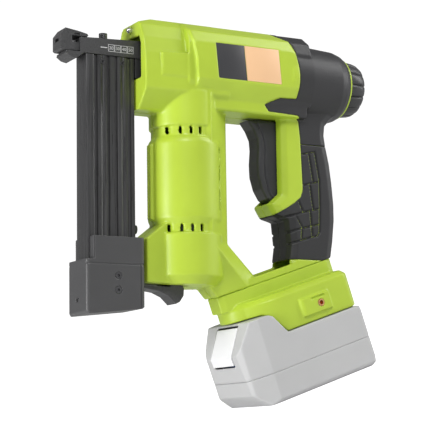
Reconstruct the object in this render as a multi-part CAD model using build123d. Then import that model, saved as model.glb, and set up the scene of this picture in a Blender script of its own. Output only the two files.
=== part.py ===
from build123d import *
import math
import os

os.makedirs("parts", exist_ok=True)

# Cordless brad nailer, in millimetres.
# The tool is drawn in its driving frame: X runs rearward along the driver, Z up along the magazine,
# and the middle plane is Y = 0. The foot and the battery are drawn in the standing frame, in which
# the battery's base lies on Z = 0. Every part is exported in the standing frame.

TILT = 19.0            # battery base against the driving axis, degrees
BASE_U = 114.0         # driving-frame origin to the base's centre, along the base
BASE_V = 326.0         # driving-frame origin above the base
WALL = 3.0             # moulded housing wall
SKIN = 1.6             # depth of the soft overmould

HEAD_HALF = 27.5       # half widths, seen from the front
PANEL_HALF = 32.0
BODY_HALF = 29.0
BEAM_HALF = 24.0
STRUT_HALF = 15.0
GRIP_HALF = 17.0
GRIP_ROUND = 7.0       # rounding of the handle's edges
MOTOR_X = 109.5        # motor axis
BARREL_R = 30.0        # motor barrel
BARREL_TOP = -35.0     # inside the head
KNOB_Z = -15.0         # axis of the spring, guide rod and power knob
REAR_R = 33.0          # rear barrel at its root

COVER_HALF = 9.8       # magazine extrusion
COVER_X = (18.3, 60.8)
COVER_GROOVE = 1.8
RIB_SCREWS = (32.8, 50.3)
STUD_Z = -147.0
BLOCK_HALF = 18.0      # end block of the magazine
RAIL_HALF = 2.8
BAR_HALF = 10.0        # nose bar
TIP_HALF = 8.2         # contact tip
BLADE_WIDTH = 6.0
BLADE_THICK = 1.3
CHANNEL_HALF = 3.75    # driver channel of the nose

ROD_R = 5.0            # guide rod of the driver carriage
RUN = 0.05             # radial clearance of a running fit

SPINDLE_R = 7.0        # threaded spindle of the power knob
MOTOR_R = 18.6         # motor can
CASE_R = 23.0          # gearbox case
PIVOT_R = 2.0          # pivot pins of the trigger and the latch lever
TRIGGER_HALF = 9.0
TRIGGER_PIVOT = (197.0, -54.0)
LEVER_HALF = 8.0
SWITCH_Z = -84.0
PLUNGER_R = 2.4
LEVER_PIVOT = (97.0, -186.5)

RACK_MODULE = 2.0      # lifter gear and rack
LIFTER_TEETH = 14
STAGE_MODULE = 0.8     # planetary stage
SUN_TEETH = 12
PLANET_TEETH = 18
RING_TEETH = 48
PLANET_COUNT = 3
ADDENDUM = 0.8         # tooth heights, in modules
DEDENDUM = 1.15
BACKLASH = 0.16        # thinning of each tooth at the pitch circle
PRESSURE = math.radians(20)

FOOT_SPLIT = 94.0      # heights above the base: housing to foot,
FOOT_SHOULDER = 83.0   # top of the foot's skirt,
FOOT_FRONT = 70.0      # underside of its front,
FOOT_SIDE = 51.5       # underside of its sides
FOOT_HALF = 34.0
PACK_HALF = 37.0       # battery pack
PACK_FRONT = -62.0
PACK_REAR = 60.0
PACK_TOP = 51.0
BUTTON_HALF = 16.6
CELL_R = 9.15
CELL_COLUMNS = [-36 + 20 * k for k in range(5)]
HOOK = (22.4, 64.0)    # belt hook insert, X and Z in the standing frame
HOOK_R = 1.65
INSERT_R = 2.9


# ---------------------------------------------------------------- helpers

def stand(shape):
    """From the driving frame to the standing frame."""
    return Pos(-BASE_U, 0, BASE_V) * Rot(0, TILT, 0) * shape


def lay(shape):
    """From the standing frame to the driving frame."""
    return Rot(0, -TILT, 0) * Pos(BASE_U, 0, -BASE_V) * shape


def outline_face(points, radius):
    """A closed outline, with all its corners rounded when a radius is given."""
    face = make_face(Polyline(*points, close=True))
    return fillet(face.vertices(), radius) if radius else face


def slab(points, half, radius=0, inset=0):
    """A side outline (X, Z), thick on both sides of the middle plane."""
    face = outline_face(points, radius)
    if inset:
        face = offset(face, amount=-inset)
    return extrude(Plane.XZ * face, amount=half - inset, both=True)


def shrunk(face, amount):
    """A face with its outline moved inward, with sharp corners kept sharp."""
    return offset(face, amount=-amount, kind=Kind.INTERSECTION) if amount else face


def soft_slab(points, half, bevel, inset=0):
    """A slab whose side edges are rounded in two facets."""
    reach = half - inset
    cut = bevel - inset / 2
    steps = ((0, cut), (cut * 0.29, cut * 0.29), (cut, 0))
    face = make_face(Polyline(*points, close=True))
    core = extrude(Plane.XZ * shrunk(face, inset), amount=reach - cut, both=True)
    rims = [Plane.XZ.offset(reach - depth) * shrunk(face, inset + step) for step, depth in steps]
    side = loft(rims, ruled=True)
    return core + side + mirror(side, Plane.XZ)


def mirrored(points):
    """A half outline (Y, Z) from top to bottom, closed by its mirror image."""
    return list(points) + [(-y, z) for y, z in reversed(points) if y > 0]


def run(points, x0, x1, radius=0, inset=0):
    """A mirrored cross-section (Y, Z), extruded from x0 to x1."""
    face = outline_face(mirrored(points), radius)
    if inset:
        face = offset(face, amount=-inset)
    return extrude(Plane.YZ.offset(x0 + inset) * face, amount=x1 - x0 - 2 * inset)


def box(x0, x1, y0, y1, z0, z1):
    return Pos((x0 + x1) / 2, (y0 + y1) / 2, (z0 + z1) / 2) * Box(x1 - x0, y1 - y0, z1 - z0)


def wide(x0, x1, half, z0, z1):
    """A box centred on the middle plane."""
    return box(x0, x1, -half, half, z0, z1)


def post(x, y, z0, z1, radius):
    """A cylinder along Z."""
    return Pos(x, y, (z0 + z1) / 2) * Cylinder(radius, z1 - z0)


def bar_x(x0, x1, y, z, radius):
    """A cylinder along X."""
    return Pos((x0 + x1) / 2, y, z) * Rot(0, 90, 0) * Cylinder(radius, x1 - x0)


def pin_y(x, z, y0, y1, radius):
    """A cylinder along Y."""
    return Pos(x, (y0 + y1) / 2, z) * Rot(90, 0, 0) * Cylinder(radius, y1 - y0)


def plank(sections, z0, z1):
    """A plan outline (X, Y), extruded from z0 to z1."""
    return extrude(Plane.XY.offset(z0) * make_face(sections), amount=z1 - z0)


def half_of(shape, side):
    """The part of a shape on one side of the middle plane; side is -1 for left."""
    size = 500
    return shape & Pos(0, side * size / 2, 0) * Box(2 * size, size, 2 * size)


def solids_only(shape, least=1.0):
    """The solids of a shape, without slivers."""
    return Compound([s for s in shape.solids() if s.volume > least])


def coil_x(x0, x1, y, z, radius, wire, turns):
    """A compression spring along X."""
    length = x1 - x0 - 2 * wire
    path = Helix(length / turns, length, radius)
    ring = Plane(origin=path @ 0, z_dir=path % 0) * Circle(wire)
    return Pos(x0 + wire, y, z) * Rot(0, 90, 0) * sweep(ring, path)


def coil_z(x, y, z0, z1, radius, wire, turns):
    """A compression spring along Z."""
    length = z1 - z0 - 2 * wire
    path = Helix(length / turns, length, radius)
    ring = Plane(origin=path @ 0, z_dir=path % 0) * Circle(wire)
    return Pos(x, y, z0 + wire) * sweep(ring, path)


def save(node, shape, standing=False):
    """Write one node. A shape that is already in the standing frame is written as it is."""
    placed = shape if standing else stand(shape)
    export_step(Compound(placed.solids()), f"parts/{node}.step")


# ---------------------------------------------------------------- gears

def roll(angle):
    """Involute function."""
    return math.tan(angle) - angle


def flank(teeth, module, tip, root, thin):
    """Radius and half angle of a tooth at steps from its root to its tip."""
    pitch = module * teeth / 2
    base = pitch * math.cos(PRESSURE)
    half = (math.pi * module / 2 - thin) / 2 / pitch
    start = max(root, base)
    rows = []
    for step in range(5):
        radius = start + (tip - start) * step / 4
        turn = roll(math.acos(min(1.0, base / radius)))
        rows.append((radius, half + roll(PRESSURE) - turn))
    if root < base:
        rows.insert(0, (root, rows[0][1]))
    return rows


def tooth_points(rows, centre):
    """One tooth's outline about its centre angle, running counterclockwise."""
    up = [(r, centre - a) for r, a in rows]
    down = [(r, centre + a) for r, a in reversed(rows)]
    return [(r * math.cos(a), r * math.sin(a)) for r, a in up + down]


def gear_face(teeth, module, first=0, count=None, turn=0.0):
    """An external gear, or a sector of one that holds the given teeth."""
    pitch = module * teeth / 2
    root = pitch - DEDENDUM * module
    rows = flank(teeth, module, pitch + ADDENDUM * module, root, BACKLASH)
    step = 2 * math.pi / teeth
    points = []
    for k in range(teeth):
        centre = turn + k * step
        if count is None or (k - first) % teeth < count:
            points += tooth_points(rows, centre)
        else:
            points.append((root * math.cos(centre), root * math.sin(centre)))
    return make_face(Polyline(*points, close=True))


def ring_hole_face(teeth, module):
    """The hole of an internal gear: its teeth point inward, the first one along +X."""
    pitch = module * teeth / 2
    tip = pitch + DEDENDUM * module
    root = pitch - ADDENDUM * module
    rows = flank(teeth, module, tip, root, -BACKLASH)
    step = 2 * math.pi / teeth
    points = []
    for k in range(teeth):
        points += tooth_points(rows, (k + 0.5) * step)
    return make_face(Polyline(*points, close=True))


def rack_face(pitch_line, back, x0, x1, centre):
    """A rack whose teeth point to +Y, with a gap centred on the given X."""
    step = math.pi * RACK_MODULE
    tip = pitch_line + ADDENDUM * RACK_MODULE
    root = pitch_line - DEDENDUM * RACK_MODULE
    half = (step / 2 - BACKLASH) / 2
    low = half + DEDENDUM * RACK_MODULE * math.tan(PRESSURE)
    high = half - ADDENDUM * RACK_MODULE * math.tan(PRESSURE)
    points = [(x0, back), (x0, root)]
    first = math.ceil((x0 + low - centre) / step - 0.5)
    last = math.floor((x1 - low - centre) / step - 0.5)
    for k in range(first, last + 1):
        x = centre + (k + 0.5) * step
        points += [(x - low, root), (x - high, tip), (x + high, tip), (x + low, root)]
    points += [(x1, root), (x1, back)]
    return make_face(Polyline(*points, close=True))


# ---------------------------------------------------------------- outer form of the housing

HEAD_SECTION = [
    (0, 25), (9, 24), (17, 17.5), (23, 6), (26.5, -8),
    (HEAD_HALF, -20), (HEAD_HALF, -37), (13, -52), (0, -52),
]
HEAD_SIDE = [(62, -60), (62, 19.5), (80, 25.5), (126, 25.5), (138, 22.5), (138, -60)]
BODY_SECTION = [(0, 23), (14, 22), (25, 14), (BODY_HALF, 4), (BODY_HALF, -27), (BEAM_HALF, -40), (0, -40)]
PANEL_SECTION = [
    (0, 23), (15, 22), (27, 14), (PANEL_HALF, 4), (PANEL_HALF, -26), (BEAM_HALF, -40.2), (0, -40.2),
]
PANEL_SIDE = [
    (101.5, 24), (101.8, 10.6), (106.3, -8.5), (107.4, -31.5), (121.3, -32.1), (131.3, -40),
    (168.8, -40), (185, -34.5), (200.5, -34.2), (201.5, -20), (200, 0), (195, 14), (188, 24),
]
BEAM_SECTION = [(0, -30), (BEAM_HALF, -30), (BEAM_HALF, -49), (0, -49)]
COLUMN = [
    (119.5, 28.2), (141, 12.5), (144, 8), (144, -8), (141, -12.5), (119.5, -28.2), (100, -20), (100, 20),
]
ARM = [(68, -155), (84, -142.5), (112, -142.5), (132, -168), (124, -191.5), (68, -190)]
HANDLE = [
    (186, -20), (250, -20), (250, -42), (243, -46), (237.5, -52), (236.5, -60), (238, -70), (241, -84),
    (243, -100), (244.5, -118), (244.5, -132), (242.5, -150), (240, -165), (239, -182), (198, -182),
    (197, -165), (198.5, -155), (196.5, -134), (186, -131), (180, -121), (190, -112), (190, -49),
]


def head(inset):
    """Front head that holds the nose, with a rounded top and a bevelled lower edge."""
    section = run(HEAD_SECTION, 62, 138, radius=4, inset=inset)
    return section & slab(HEAD_SIDE, 60, inset=inset)


def upper_body(inset):
    """Body over the handle opening, with a raised panel on each side."""
    body = run(BODY_SECTION, 100, 216, radius=3, inset=inset)
    panel = run(PANEL_SECTION, 100, 216, radius=3, inset=inset) & slab(PANEL_SIDE, 60, inset=inset)
    beam = run(BEAM_SECTION, 116, 213, radius=2, inset=inset)
    return body + panel + beam


def barrel(inset):
    """Vertical motor barrel with two recessed vent bands and a chamfered bottom."""
    radii = [(28.6, BARREL_TOP), (28.6, -63.5), (27, -63.8), (27, -72), (28.6, -73.5), (BARREL_R, -77),
             (BARREL_R, -138), (28, -142.3), (27.6, -142.5), (27.6, -150), (BARREL_R, -150.3),
             (BARREL_R, -184), (24, -191)]
    outline = [(0, BARREL_TOP - inset)] + [(radii[0][0] - inset, BARREL_TOP - inset)]
    outline += [(r - inset, z) for r, z in radii[1:-2]]
    outline += [(radii[-2][0] - inset, -184 + inset / 2), (24 - inset, -191 + inset), (0, -191 + inset)]
    turned = revolve(Plane.XZ * make_face(Polyline(*outline, close=True)), axis=Axis.Z)
    return Pos(MOTOR_X, 0, 0) * turned


def column(inset):
    """Wedge-shaped column between the barrel and the handle opening."""
    face = make_face(Polyline(*COLUMN, close=True))
    if inset:
        face = offset(face, amount=-inset)
    return extrude(Plane.XY.offset(-160) * face, amount=124)


def strut(inset):
    """Diagonal strut from the column's foot to the battery foot."""
    upper = [
        (94, -15), (119.5, -28.2), (141, -12.5), (144, -8), (144, 8), (141, 12.5), (119.5, 28.2), (94, 15),
    ]
    lower = [(-53, -11), (-26, -15), (-13.5, -12), (-9, -7), (-9, 7), (-13.5, 12), (-26, 15), (-53, 11)]
    high = make_face(Polyline(*upper, close=True))
    low = make_face(Polyline(*lower, close=True))
    if inset:
        high = offset(high, amount=-inset)
        low = offset(low, amount=-inset)
    base = Rot(0, -TILT, 0) * Pos(BASE_U, 0, FOOT_SPLIT - 2 - BASE_V) * low
    return loft([Plane.XY.offset(-156) * high, base], ruled=True)


def rear_barrel(inset):
    """Rear barrel behind the panel, round about the knob's axis."""
    outline = [(196 + inset, 0), (196 + inset, REAR_R - inset), (216, REAR_R - inset), (246, 31 - inset),
               (252, 29.2 - inset), (256 - inset, 26.8 - inset), (256 - inset, 0)]
    turned = revolve(Plane.XY * make_face(Polyline(*outline, close=True)), axis=Axis.X)
    return Pos(0, 0, KNOB_Z) * turned


def grip(inset):
    """Handle with rounded edges, from the rear barrel down to the foot."""
    return soft_slab(HANDLE, GRIP_HALF, GRIP_ROUND, inset)


def bridge(inset):
    """Low bar that joins the strut to the handle, just above the foot."""
    block = extrude(Plane.XY.offset(FOOT_SPLIT - 4 + inset) * neck_face(inset), amount=10 - 2 * inset)
    return lay(block)


def neck_face(inset=0):
    """Plan of the neck between the housing and the foot, in the standing frame."""
    points = [(-53, -8), (-48, -11), (-26, STRUT_HALF), (14, 17), (52, 17), (60, 10)]
    half = [(x, abs(y)) for x, y in points]
    full = half + [(x, -y) for x, y in reversed(half)]
    face = make_face(Polyline(*full, close=True))
    return offset(face, amount=-inset) if inset else face


def housing_form(inset=0):
    """Everything inside the housing's surface, or inside a surface that lies below it by inset."""
    form = head(inset) + upper_body(inset) + barrel(inset) + column(inset)
    form = form + slab(ARM, STRUT_HALF, inset=inset) + strut(inset)
    form = form + rear_barrel(inset) + grip(inset) + bridge(inset)
    below = lay(wide(-200, 200, 100, -50, FOOT_SPLIT))
    return form - below


# Side outline of the soft overmould: top saddle, rear barrel, window under the panel, and grip.
SOFT_OUTLINE = [
    (181, 40), (182, 22.6), (190, 17.5), (197.5, 12.6), (200.3, 6), (201.7, -8), (202, -20), (201, -33.8),
    (185.5, -34.2), (172, -40.4), (176, -46), (204, -47), (208.5, -50), (210, -63.5), (211.5, -108),
    (209.5, -114), (203, -119.5), (183, -131.5), (170, -136), (170, -166.5), (300, -166.5), (300, 40),
]
SEAM_Z = -69.5
SEAM = 0.2


def soft_zone(low, high):
    """The space of the overmould between two heights, wider than the tool."""
    return slab(SOFT_OUTLINE, 60) & wide(100, 320, 80, low, high)


# ---------------------------------------------------------------- housing shells

SCREW_SPOTS = [
    (86, 15), (158, 14), (74, -45), (137.5, -85), (78, -171), (138, -180), (229, -112), (222, -154),
]
BOSS_R = 4.6
HEAD_DEPTH = 5.0
SHANK_R = 1.7
SCREW_HEAD_R = 3.4
SCREW_HEAD = 2.6
SLOT_PITCH = 7.7
LABEL_DEPTH = 0.8


def width_at(x, z):
    """Half width of the outer form where a housing screw sits."""
    widths = {(86, 15): 17.0, (158, 14): 24.0, (74, -45): 18.0, (137.5, -85): 14.0}
    return widths.get((x, z), STRUT_HALF if x < 200 else GRIP_HALF)


def vents():
    """Vent slots of the two barrel bands, and the long slits of the column."""
    cutters = []
    for side in (-1, 1):
        for k in range(4):
            x = 87.5 + k * SLOT_PITCH
            cutters.append(box(x - 1.2, x + 1.2, side * 20 - 13, side * 20 + 13, -70.8, -64.4))
            cutters.append(box(x - 1.2, x + 1.2, side * 20 - 13, side * 20 + 13, -149.6, -143.2))
        for low, high in ((-90.5, -79), (-131.5, -93)):
            cutters.append(box(129.7, 131.3, side * 18 - 6, side * 18 + 6, low, high))
    return Compound(cutters)


def bosses():
    """Screw bosses across the housing, each with its bore."""
    posts = []
    for x, z in SCREW_SPOTS:
        reach = width_at(x, z) - 1
        posts.append(pin_y(x, z, -reach, reach, BOSS_R))
    return Compound(posts)


def boss_bores():
    """Clearance of the shanks and the heads' counterbores on the right, blind ends on the left."""
    cutters = []
    for x, z in SCREW_SPOTS:
        reach = width_at(x, z)
        cutters.append(pin_y(x, z, 4 - reach, reach + 20, SHANK_R + RUN))
        cutters.append(pin_y(x, z, reach - HEAD_DEPTH, reach + 20, SCREW_HEAD_R + 0.2))
    return Compound(cutters)


def housing_screws():
    """Pan-head screws that hold the two shells together."""
    screws = []
    for x, z in SCREW_SPOTS:
        seat = width_at(x, z) - HEAD_DEPTH
        screw = pin_y(x, z, seat, seat + SCREW_HEAD, SCREW_HEAD_R)
        screw = screw + pin_y(x, z, 5 - width_at(x, z), seat + 0.1, SHANK_R)
        screws.append(screw - Pos(x, seat + SCREW_HEAD, z) * Box(1.2, 2.4, 4.4))
    return Compound(screws)


def front_mouth():
    """Opening of the head's front, which the nose bar and the bracket pass through."""
    return run([(0, 8), (15, 8), (18, 0), (18, -27), (0, -27)], 55, 70)


def shell_cutters():
    """Everything that is cut from both housing shells."""
    cut = front_mouth() + wide(160, 204, TRIGGER_HALF + 0.7, -120.6, -49.2)
    cut = cut + wide(192, 204, TRIGGER_HALF + 0.7, -60, -46.2)
    cut = cut + bar_x(240, 270, 0, KNOB_Z, SPINDLE_R + RUN)
    cut = cut + bar_x(55, 70, 0, 15, 2.6)
    cut = cut + wide(88, 108, LEVER_HALF + 0.6, -200, -181)
    cut = cut + pin_y(*LEVER_PIVOT, -13, 13, PIVOT_R) + pin_y(*TRIGGER_PIVOT, -13, 13, PIVOT_R)
    return cut + lay(wide(-14, 50, 13, 80, 104))


def inner_ribs():
    """Ribs that hold the motor and the gearbox, and the lugs of the two pivot pins."""
    motor = post(MOTOR_X, 0, -110, -107.5, 28) + post(MOTOR_X, 0, -155, -152.5, 28)
    motor = motor - post(MOTOR_X, 0, -160, -100, MOTOR_R)
    gearbox = post(MOTOR_X, 0, -90, -87.5, 28) - post(MOTOR_X, 0, -95, -80, CASE_R)
    lever = box(91, 103, -14, 14, -192, -181)
    return motor + gearbox + lever + pin_y(*TRIGGER_PIVOT, -16, 16, 4.5)


def label_recess():
    """Shallow recess of each side label."""
    outline = [(122.7, 5.3), (182.3, 4.9), (184.6, -24.8), (125.4, -24.5)]
    return slab(outline, 60, radius=1.2) - wide(100, 220, PANEL_HALF - LABEL_DEPTH, -60, 30)


def side_labels():
    """Printed plates in the label recesses."""
    outline = [(123.1, 4.9), (182.0, 4.5), (184.1, -24.4), (125.7, -24.1)]
    plate = slab(outline, PANEL_HALF - 0.1, radius=1.0)
    return plate - wide(100, 220, PANEL_HALF - LABEL_DEPTH, -60, 30)


def side_pads():
    """Raised rectangle on each side of the head, and the moulding ridge of the barrel."""
    pad = slab([(76.5, -7), (104.5, -5), (104.5, -25), (76.5, -25.5)], HEAD_HALF + 0.9)
    pad = pad - wide(70, 110, HEAD_HALF - 1.5, -60, 10)
    ridge = slab([(77, -78), (83, -74), (83, -141), (77, -138)], 3.4)
    return pad, ridge


# ---------------------------------------------------------------- nose and magazine

def nose_bar():
    """Steel nose bar: driver channel, cheeks for the contact tip, lower lip, and feed slot."""
    outline = [(13.6, 2.2), (13.6, -9.4), (2, -9.4), (1.5, -11.5), (5.5, -14.4), (10, -15.3), (17, -10),
               (79, -10), (79, 4.4), (66, 4.4), (30, 3.0)]
    bar = slab(outline, BAR_HALF)
    bar = bar - wide(10, 90, CHANNEL_HALF, -1.3, 1.3)
    for side in (-1, 1):
        y0, y1 = sorted((side * 4.2, side * (TIP_HALF + 0.3)))
        bar = bar - box(13, 36, y0, y1, -8.8, -1.8)
    bar = bar - wide(21.5, 47.6, 3.2, -12, 0)
    return bar - post(37.7, 0, 0, 10, 2.0)


def contact_tip():
    """Contact tip with its exit slot and two arms that slide in the nose bar."""
    outline = [
        (-2.3, 3.5), (1.8, 9.0), (13, 7.4), (20.5, 5.8), (21.5, 4.6), (20.5, 3.4), (7.4, 3.4), (7.4, -8.8),
        (-0.6, -8.8), (-2.3, -7.8),
    ]
    tip = slab(outline, TIP_HALF)
    for side in (-1, 1):
        y0, y1 = sorted((side * 4.5, side * TIP_HALF))
        tip = tip + box(7, 26, y0, y1, -8.5, -2.1)
        y2, y3 = sorted((side * (TIP_HALF - 1.2), side * (TIP_HALF + 1)))
        tip = tip - box(9.4, 14, y2, y3, 3.9, 5.6)
    return tip - wide(-5, 30, CHANNEL_HALF, -1.3, 1.3)


def contact_springs():
    """The two return springs of the contact tip."""
    return Compound([coil_x(26.3, 35.8, side * 6.35, -5.3, 1.4, 0.3, 4.5) for side in (-1, 1)])


def nose_cap_screw():
    """Knurled cap screw on top of the nose bar."""
    head_top = 9.6
    screw = post(37.7, 0, 3.5, head_top, 3.4) + post(37.7, 0, 1.4, 3.6, 2.0)
    grooves = [post(37.7 + 3.5 * math.cos(a), 3.5 * math.sin(a), 4.2, 12, 0.35)
               for a in [math.radians(20 * k) for k in range(18)]]
    socket = extrude(Plane.XY.offset(head_top - 2) * RegularPolygon(1.7, 6), amount=4)
    return screw - Compound(grooves) - Pos(37.7, 0, 0) * socket


def magazine_rail():
    """Fixed steel rail that the brads stand against."""
    rail = wide(23.5, 46, RAIL_HALF, -196, -10)
    return rail - wide(26, 40, 1.2, -190, -9)


def magazine_bracket():
    """Steel bracket that holds the rail and the nose bar to the drive frame."""
    plate = wide(61.6, 79, 9.0, -26, -10)
    return plate - wide(60, 77, 6.5, -24, -12)


def cover_outline(grown=0.0):
    """Plan of the magazine extrusion: two round ribs and four grooves on each side."""
    low, high = COVER_X
    half = COVER_HALF + grown
    deep = half - COVER_GROOVE
    side = [
        (low, half), (26, half), (27, deep), (28.4, deep), (29, half), (36.6, half), (37.3, deep),
        (45.2, deep), (46, half), (54, half), (54.7, deep), (57, deep), (58, half - 0.8), (high, half - 0.8),
    ]
    return side + [(x, -y) for x, y in reversed(side)]


def magazine_cover():
    """Sliding aluminium extrusion of the magazine, open at the top."""
    outer = make_face(Polyline(*cover_outline(), close=True))
    body = extrude(Plane.XY.offset(-198) * outer, amount=187.5)
    body = body - wide(21.3, 58, 4.6, -220, 0) - bar_x(57, 62, 0, STUD_Z, 2.2)
    for x in RIB_SCREWS:
        for side in (-1, 1):
            body = body - pin_y(x, -15.5, *sorted((side * (COVER_HALF - 3), side * 12)), 2.0)
    return body


def rib_screws():
    """Small screws at the tops of the ribs."""
    screws = []
    for side in (-1, 1):
        for x in RIB_SCREWS:
            y0, y1 = sorted((side * (COVER_HALF - 3), side * (COVER_HALF + 0.4)))
            screw = pin_y(x, -15.5, y0, y1, 2.0)
            screws.append(screw - pin_y(x, -15.5, *sorted((side * (COVER_HALF - 0.6), side * 20)), 0.9))
    return Compound(screws)


def stop_stud():
    """Round stud on the back of the extrusion."""
    return bar_x(58.6, 62.4, 0, STUD_Z, 2.2) + bar_x(62.4, 65.2, 0, STUD_Z, 3.6)


def end_block():
    """Moulded end block that closes the magazine and carries its latch."""
    tall = slab([(21, -155.5), (65, -155.5), (65, -210), (62, -211.5), (21, -215.8)], BLOCK_HALF)
    low = slab([(14.7, -173.5), (21.5, -173.5), (21.5, -215.8), (17, -216.2), (14.7, -214)], BLOCK_HALF)
    block = tall + low
    edges = block.edges().filter_by(Axis.Z).group_by(Axis.X)
    block = fillet(edges[0], 3.0)
    block = fillet(block.edges().filter_by(Axis.Z).group_by(Axis.X)[-1], 3.5)
    channel = make_face(Polyline(*cover_outline(0.15), close=True))
    block = block - extrude(Plane.XY.offset(-198.3) * channel, amount=60)
    block = block - wide(COVER_X[0] - 0.2, COVER_X[1] + 0.2, COVER_HALF - 0.5, -198.3, -140)
    for side in (-1, 1):
        for z in (-186.2, -197.3):
            y0, y1 = sorted((side * (BLOCK_HALF - 2.4), side * 30))
            block = block - pin_y(41.8, z, y0, y1, 3.0)
            block = block - pin_y(41.8, z, *sorted((side * 9.0, side * 30)), 1.55)
    return block - wide(13, 17, 3, -206, -203)


def end_block_screws():
    """Socket screws in the sides of the end block."""
    screws = []
    for side in (-1, 1):
        for z in (-186.2, -197.3):
            y0, y1 = sorted((side * (BLOCK_HALF - 2.4), side * (BLOCK_HALF - 0.4)))
            y2, y3 = sorted((side * (COVER_HALF + 0.6), side * (BLOCK_HALF - 2.3)))
            screw = pin_y(41.8, z, y0, y1, 2.8) + pin_y(41.8, z, y2, y3, 1.5)
            socket = Pos(41.8, 0, z) * Rot(90, 0, 0) * extrude(RegularPolygon(1.25, 6), amount=60, both=True)
            screws.append(screw - (socket & Pos(41.8, side * BLOCK_HALF, z) * Box(8, 3.2, 8)))
    return Compound(screws)


def pusher():
    """Follower that pushes the brads up the rail."""
    body = wide(21.6, 57.6, 4.3, -42, -22)
    return body - wide(23.2, 46.3, RAIL_HALF + 0.25, -50, -10)


def latch_lever():
    """Finger lever under the arm that frees the end block."""
    outline = [(68.5, -191.8), (104, -192.3), (103.5, -199), (100, -204), (96.5, -205.7), (90, -199.5),
               (82, -196), (68.5, -194)]
    lug = [(91, -193), (92, -185), (95, -182.5), (100, -182.5), (102.5, -187), (103, -193)]
    lever = slab(outline, LEVER_HALF) + slab(lug, LEVER_HALF)
    return lever - pin_y(*LEVER_PIVOT, -10, 10, PIVOT_R + RUN)


# ---------------------------------------------------------------- trigger and electrics

def trigger():
    """Long finger trigger on a pin at its top."""
    front = [(165, -51), (170.5, -58.5), (174, -66), (174.6, -74), (173.6, -86), (174, -97), (177.2, -108),
             (182, -116), (186.4, -118.8)]
    back = [(193.5, -114), (196, -106), (196, -62), (201.5, -58), (201.5, -50), (180, -50)]
    body = soft_slab(front + back, TRIGGER_HALF, 2.6)
    body = body - wide(184, 210, 6.0, -112, -62)
    return body - pin_y(*TRIGGER_PIVOT, -12, 12, PIVOT_R + RUN)


def trigger_switch():
    """Electric switch behind the trigger."""
    case = wide(205, 226, 9.0, -96, -66) + bar_x(203, 205.1, 0, SWITCH_Z, 4.0)
    return case - bar_x(200, 214, 0, SWITCH_Z, PLUNGER_R + RUN)


def switch_plunger():
    """Plunger of the switch."""
    return bar_x(184.4, 208, 0, SWITCH_Z, PLUNGER_R)


def motor_can():
    """Motor can with its bearing boss."""
    can = post(MOTOR_X, 0, -158, -101, MOTOR_R) + post(MOTOR_X, 0, -101, -98.4, 6.5)
    can = can - post(MOTOR_X, 0, -170, -90, 1.6 + RUN) - post(MOTOR_X, 0, -156, -103, 15.4)
    slots = [Pos(MOTOR_X, 0, -130) * Rot(0, 0, a) * Pos(17, 0, 0) * Box(6, 5, 22) for a in (0, 90, 180, 270)]
    return can - Compound(slots)


def motor_rotor():
    """Rotor: shaft, wound core, cooling fan, and the pinion cut on the shaft."""
    rotor = post(MOTOR_X, 0, -172, -96, 1.6) + post(MOTOR_X, 0, -146, -112, 14.6)
    hub = post(MOTOR_X, 0, -168, -161.5, 5.0)
    blades = [Pos(MOTOR_X, 0, -164.7) * Rot(0, 0, 40 * k) * Pos(12, 0, 0) * Rot(30, 0, 0) * Box(17, 1.2, 5.4)
              for k in range(9)]
    sun = extrude(Plane.XY.offset(-97) * gear_face(SUN_TEETH, STAGE_MODULE), amount=13)
    rotor = rotor + hub + Pos(MOTOR_X, 0, 0) * sun
    for blade in blades:
        rotor = rotor + blade
    return rotor


def planet_centre(k):
    """Centre of one planet gear."""
    reach = STAGE_MODULE * (SUN_TEETH + PLANET_TEETH) / 2
    angle = 2 * math.pi * k / PLANET_COUNT
    return MOTOR_X + reach * math.cos(angle), reach * math.sin(angle)


def planet_gear(k):
    """One planet gear, turned so that it meshes with the sun and the ring."""
    x, y = planet_centre(k)
    turn = 2 * math.pi * k / PLANET_COUNT + math.pi / PLANET_TEETH
    gear = extrude(Plane.XY.offset(-94) * gear_face(PLANET_TEETH, STAGE_MODULE, turn=turn), amount=9)
    return Pos(x, y, 0) * gear - post(x, y, -100, -80, 2.0 + RUN)


def planet_carrier():
    """Carrier plate with the planets' pins."""
    plate = post(MOTOR_X, 0, -83.4, -79.4, 17.0)
    for k in range(PLANET_COUNT):
        x, y = planet_centre(k)
        plate = plate + post(x, y, -94.5, -83, 2.0)
    return plate - post(MOTOR_X, 0, -90, -70, 4.0)


def gearbox_case():
    """Ring gear and case of the planetary stage."""
    case = post(MOTOR_X, 0, -98, -74, CASE_R)
    ring = extrude(Plane.XY.offset(-95.5) * ring_hole_face(RING_TEETH, STAGE_MODULE), amount=11)
    case = case - Pos(MOTOR_X, 0, 0) * ring
    case = case - post(MOTOR_X, 0, -84.5, -77.5, 20.0) - post(MOTOR_X, 0, -80, -70, 4.3)
    return case - post(MOTOR_X, 0, -99, -95, 6.6)


def lifter_gear():
    """Output shaft with the toothed sector that lifts the driver."""
    face = gear_face(LIFTER_TEETH, RACK_MODULE, first=-7, count=9, turn=-math.pi / 2)
    gear = Pos(MOTOR_X, 0, 0) * extrude(Plane.XY.offset(-37.5) * face, amount=8)
    return gear + post(MOTOR_X, 0, -83.4, -29.2, 4.0)


def output_bearing():
    """Ball bearing of the output shaft, drawn as two rings with balls between them."""
    outer = post(MOTOR_X, 0, -47, -40, 11.0) - post(MOTOR_X, 0, -50, -30, 9.0)
    inner = post(MOTOR_X, 0, -47, -40, 6.2) - post(MOTOR_X, 0, -50, -30, 4.0 + RUN)
    shield = post(MOTOR_X, 0, -46.4, -40.6, 9.2) - post(MOTOR_X, 0, -50, -30, 6.0)
    return outer + inner + shield


# ---------------------------------------------------------------- driver

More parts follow.
